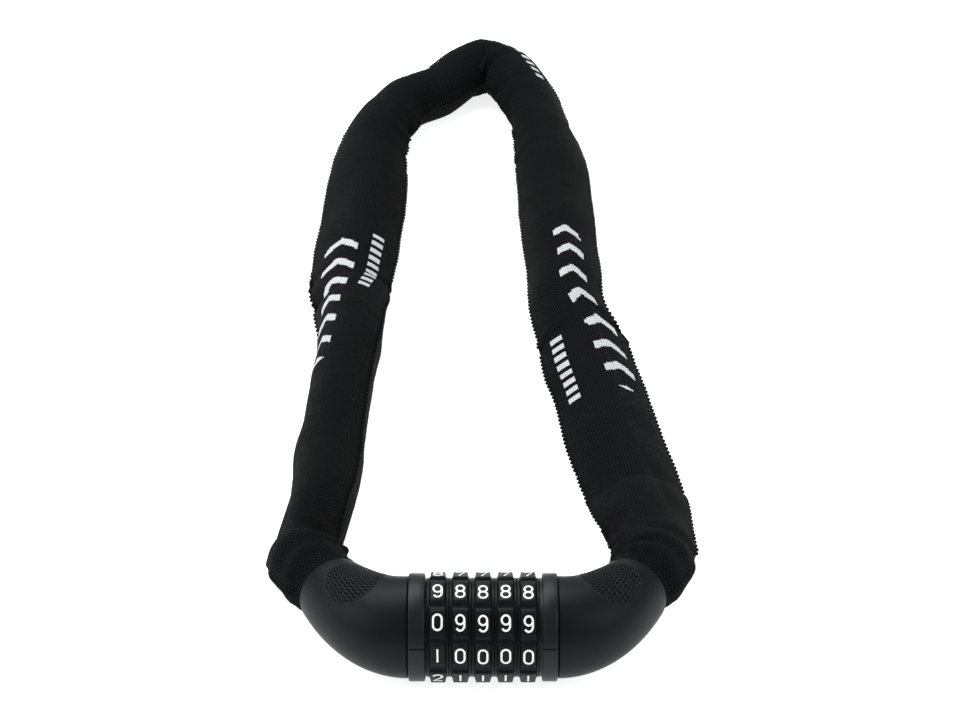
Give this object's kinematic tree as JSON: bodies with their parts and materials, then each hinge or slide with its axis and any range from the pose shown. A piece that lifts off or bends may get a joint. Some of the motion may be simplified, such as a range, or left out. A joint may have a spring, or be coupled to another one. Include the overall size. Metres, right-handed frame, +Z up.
{
  "type": "combination chain lock",
  "caption": "Loop chain lock with a stack of number dials between two curved grips and a steel chain in a woven sleeve.",
  "frame": {"origin": "on the surface that the lock lies on, under the middle of its rigid body", "axes": "+X along the dials' axle from the barrel side to the bolt side, +Y from the dials towards the chain loop, +Z up"},
  "size_m": [0.1116, 0.3203, 0.0275],
  "materials": {
    "grip_plastic": "soft-touch satin black",
    "collar_plastic": "hard satin black",
    "dial_plastic": "fine matte black",
    "digit_white": "white inlaid paint",
    "woven_sleeve": "ribbed black nylon weave with white woven marks",
    "chain_steel": "zinc-plated welded steel",
    "mechanism_steel": "turned and plated steel",
    "bright_steel": "bright stamped steel",
    "cast_zinc": "tumbled zinc casting"
  },
  "bodies": {
    "barrel_side": {"barrel_grip": "grip_plastic", "barrel_collar": "collar_plastic", "barrel_tube": "mechanism_steel", "barrel_end_block": "cast_zinc", "barrel_set_screw": "bright_steel", "barrel_chain_pin": "bright_steel", "barrel_ferrule": "bright_steel", "thrust_washer": "bright_steel", "spring_washer": "bright_steel", "stack_washer": "bright_steel", "retaining_ring": "bright_steel", "chain_left": "chain_steel", "sleeve_left": "woven_sleeve"},
    "dial_ring_1": {"dial_1": "dial_plastic", "code_ring_1": "cast_zinc"},
    "dial_ring_2": {"dial_2": "dial_plastic", "code_ring_2": "cast_zinc"},
    "dial_ring_3": {"dial_3": "dial_plastic", "code_ring_3": "cast_zinc"},
    "dial_ring_4": {"dial_4": "dial_plastic", "code_ring_4": "cast_zinc"},
    "dial_ring_5": {"dial_5": "dial_plastic", "code_ring_5": "cast_zinc"},
    "bolt_side": {"bolt_grip": "grip_plastic", "bolt_collar": "collar_plastic", "bolt": "mechanism_steel", "bolt_end_block": "cast_zinc", "bolt_set_screw": "bright_steel", "bolt_chain_pin": "bright_steel", "bolt_ferrule": "bright_steel", "chain_right": "chain_steel", "sleeve_right": "woven_sleeve"}
  },
  "joints": [
    {"name": "dial_1_turn", "type": "hinge", "parent": "barrel_side", "child": "dial_ring_1", "pos_m": [0, -0.00335, 0.01375], "axis": [1, 0, 0], "continuous": true},
    {"name": "dial_2_turn", "type": "hinge", "parent": "barrel_side", "child": "dial_ring_2", "pos_m": [0, -0.00335, 0.01375], "axis": [1, 0, 0], "continuous": true},
    {"name": "dial_3_turn", "type": "hinge", "parent": "barrel_side", "child": "dial_ring_3", "pos_m": [0, -0.00335, 0.01375], "axis": [1, 0, 0], "continuous": true},
    {"name": "dial_4_turn", "type": "hinge", "parent": "barrel_side", "child": "dial_ring_4", "pos_m": [0, -0.00335, 0.01375], "axis": [1, 0, 0], "continuous": true},
    {"name": "dial_5_turn", "type": "hinge", "parent": "barrel_side", "child": "dial_ring_5", "pos_m": [0, -0.00335, 0.01375], "axis": [1, 0, 0], "continuous": true},
    {"name": "bolt_slide", "type": "slide", "parent": "barrel_side", "child": "bolt_side", "axis": [1, 0, 0], "range_m": [0, 0.04]}
  ]
}
